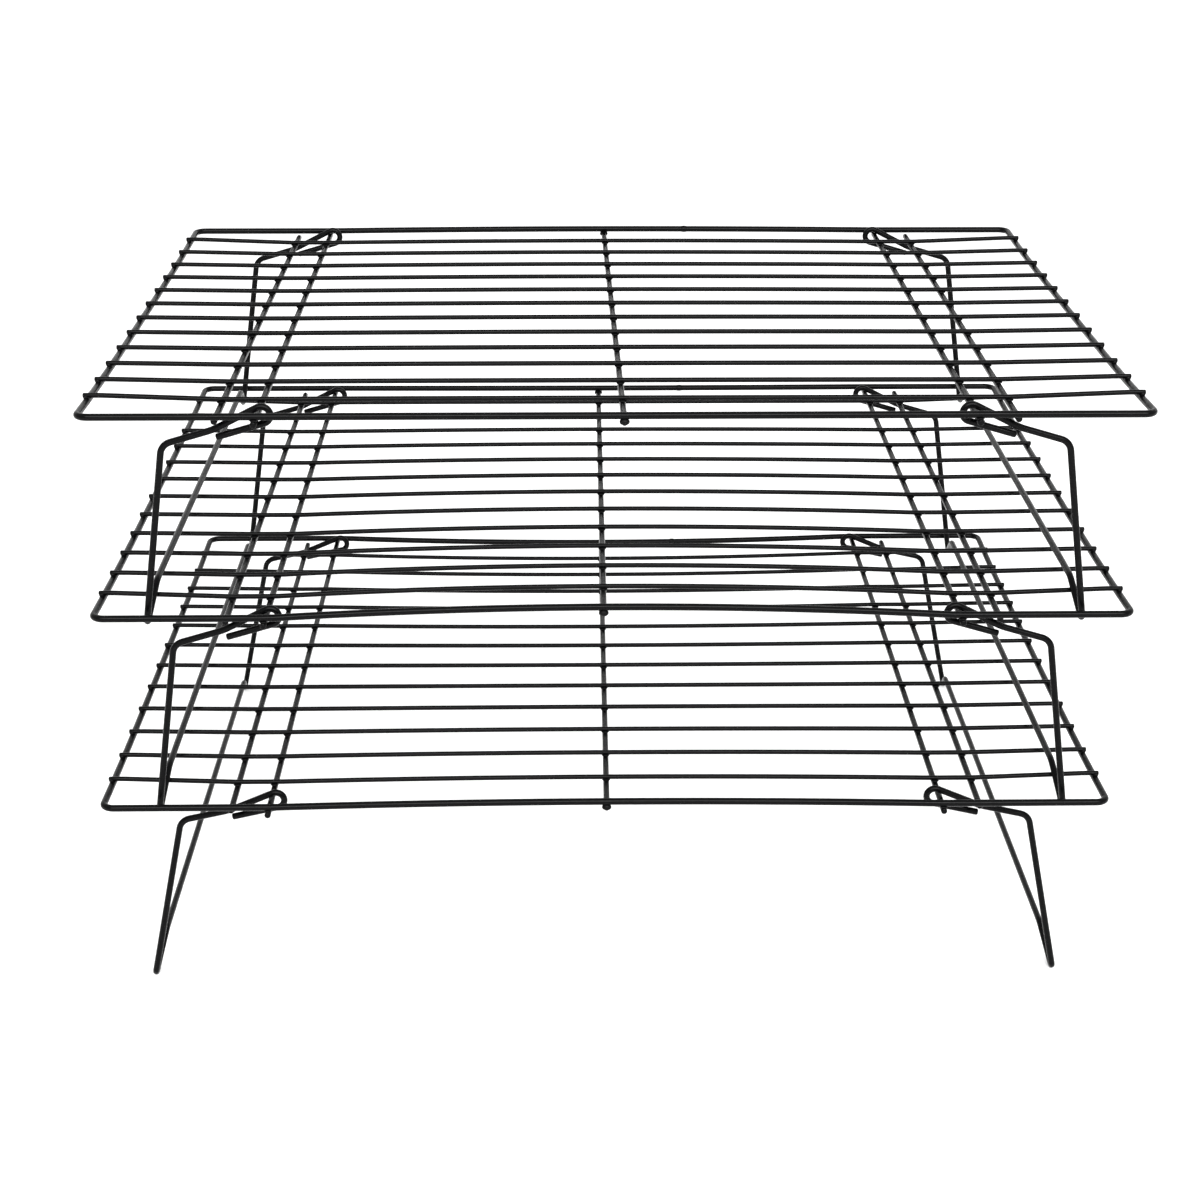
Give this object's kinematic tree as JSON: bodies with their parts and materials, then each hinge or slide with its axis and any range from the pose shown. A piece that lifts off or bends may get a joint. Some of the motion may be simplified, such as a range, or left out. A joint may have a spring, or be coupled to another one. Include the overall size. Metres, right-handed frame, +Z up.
{
  "type": "cooling rack",
  "caption": "Stack of wire cooling racks with folding wire legs; each rack stands on the one below and lifts off.",
  "frame": {"origin": "on the surface the feet stand on, under the middle of the stack", "axes": "+X to the right along the long wires, +Y to the back, +Z up"},
  "size_m": [0.4066, 0.3038, 0.2485],
  "materials": {
    "coated_wire": "satin black non-stick coating on steel wire"
  },
  "bodies": {
    "lower_rack": {"lower_frame": "coated_wire", "lower_long_wire_01": "coated_wire", "lower_long_wire_02": "coated_wire", "lower_long_wire_03": "coated_wire", "lower_long_wire_04": "coated_wire", "lower_long_wire_05": "coated_wire", "lower_long_wire_06": "coated_wire", "lower_long_wire_07": "coated_wire", "lower_long_wire_08": "coated_wire", "lower_long_wire_09": "coated_wire", "lower_long_wire_10": "coated_wire", "lower_long_wire_11": "coated_wire", "lower_long_wire_12": "coated_wire", "lower_centre_wire": "coated_wire", "lower_left_pivot_wire": "coated_wire", "lower_left_stop_wire": "coated_wire", "lower_right_pivot_wire": "coated_wire", "lower_right_stop_wire": "coated_wire"},
    "lower_left_leg": {"lower_left_leg": "coated_wire"},
    "lower_right_leg": {"lower_right_leg": "coated_wire"},
    "middle_rack": {"middle_frame": "coated_wire", "middle_long_wire_01": "coated_wire", "middle_long_wire_02": "coated_wire", "middle_long_wire_03": "coated_wire", "middle_long_wire_04": "coated_wire", "middle_long_wire_05": "coated_wire", "middle_long_wire_06": "coated_wire", "middle_long_wire_07": "coated_wire", "middle_long_wire_08": "coated_wire", "middle_long_wire_09": "coated_wire", "middle_long_wire_10": "coated_wire", "middle_long_wire_11": "coated_wire", "middle_long_wire_12": "coated_wire", "middle_centre_wire": "coated_wire", "middle_left_pivot_wire": "coated_wire", "middle_left_stop_wire": "coated_wire", "middle_right_pivot_wire": "coated_wire", "middle_right_stop_wire": "coated_wire"},
    "middle_left_leg": {"middle_left_leg": "coated_wire"},
    "middle_right_leg": {"middle_right_leg": "coated_wire"},
    "upper_rack": {"upper_frame": "coated_wire", "upper_long_wire_01": "coated_wire", "upper_long_wire_02": "coated_wire", "upper_long_wire_03": "coated_wire", "upper_long_wire_04": "coated_wire", "upper_long_wire_05": "coated_wire", "upper_long_wire_06": "coated_wire", "upper_long_wire_07": "coated_wire", "upper_long_wire_08": "coated_wire", "upper_long_wire_09": "coated_wire", "upper_long_wire_10": "coated_wire", "upper_long_wire_11": "coated_wire", "upper_long_wire_12": "coated_wire", "upper_centre_wire": "coated_wire", "upper_left_pivot_wire": "coated_wire", "upper_left_stop_wire": "coated_wire", "upper_right_pivot_wire": "coated_wire", "upper_right_stop_wire": "coated_wire"},
    "upper_left_leg": {"upper_left_leg": "coated_wire"},
    "upper_right_leg": {"upper_right_leg": "coated_wire"}
  },
  "joints": [
    {"name": "lower_left_fold", "type": "hinge", "parent": "lower_rack", "child": "lower_left_leg", "pos_m": [-0.1363, -0.0005, 0.0808], "axis": [0, -1, 0], "range_deg": [0, 121]},
    {"name": "lower_right_fold", "type": "hinge", "parent": "lower_rack", "child": "lower_right_leg", "pos_m": [0.1327, -0.0005, 0.0808], "axis": [0, 1, 0], "range_deg": [0, 121]},
    {"name": "middle_lift", "type": "slide", "parent": "lower_rack", "child": "middle_rack", "axis": [0, 0, 1], "range_m": [0, 0.14]},
    {"name": "middle_left_fold", "type": "hinge", "parent": "middle_rack", "child": "middle_left_leg", "pos_m": [-0.1337, 0.0005, 0.1619], "axis": [0, -1, 0], "range_deg": [0, 121]},
    {"name": "middle_right_fold", "type": "hinge", "parent": "middle_rack", "child": "middle_right_leg", "pos_m": [0.1353, 0.0005, 0.1619], "axis": [0, 1, 0], "range_deg": [0, 121]},
    {"name": "upper_lift", "type": "slide", "parent": "middle_rack", "child": "upper_rack", "axis": [0, 0, 1], "range_m": [0, 0.14]},
    {"name": "upper_left_fold", "type": "hinge", "parent": "upper_rack", "child": "upper_left_leg", "pos_m": [-0.1327, -0.0005, 0.243], "axis": [0, -1, 0], "range_deg": [0, 121]},
    {"name": "upper_right_fold", "type": "hinge", "parent": "upper_rack", "child": "upper_right_leg", "pos_m": [0.1363, -0.0005, 0.243], "axis": [0, 1, 0], "range_deg": [0, 121]}
  ],
  "couplings": [
    {"joint": "middle_left_fold", "follows": "middle_lift", "rad_per_m": 15},
    {"joint": "middle_right_fold", "follows": "middle_lift", "rad_per_m": 15},
    {"joint": "upper_left_fold", "follows": "upper_lift", "rad_per_m": 15},
    {"joint": "upper_right_fold", "follows": "upper_lift", "rad_per_m": 15}
  ]
}
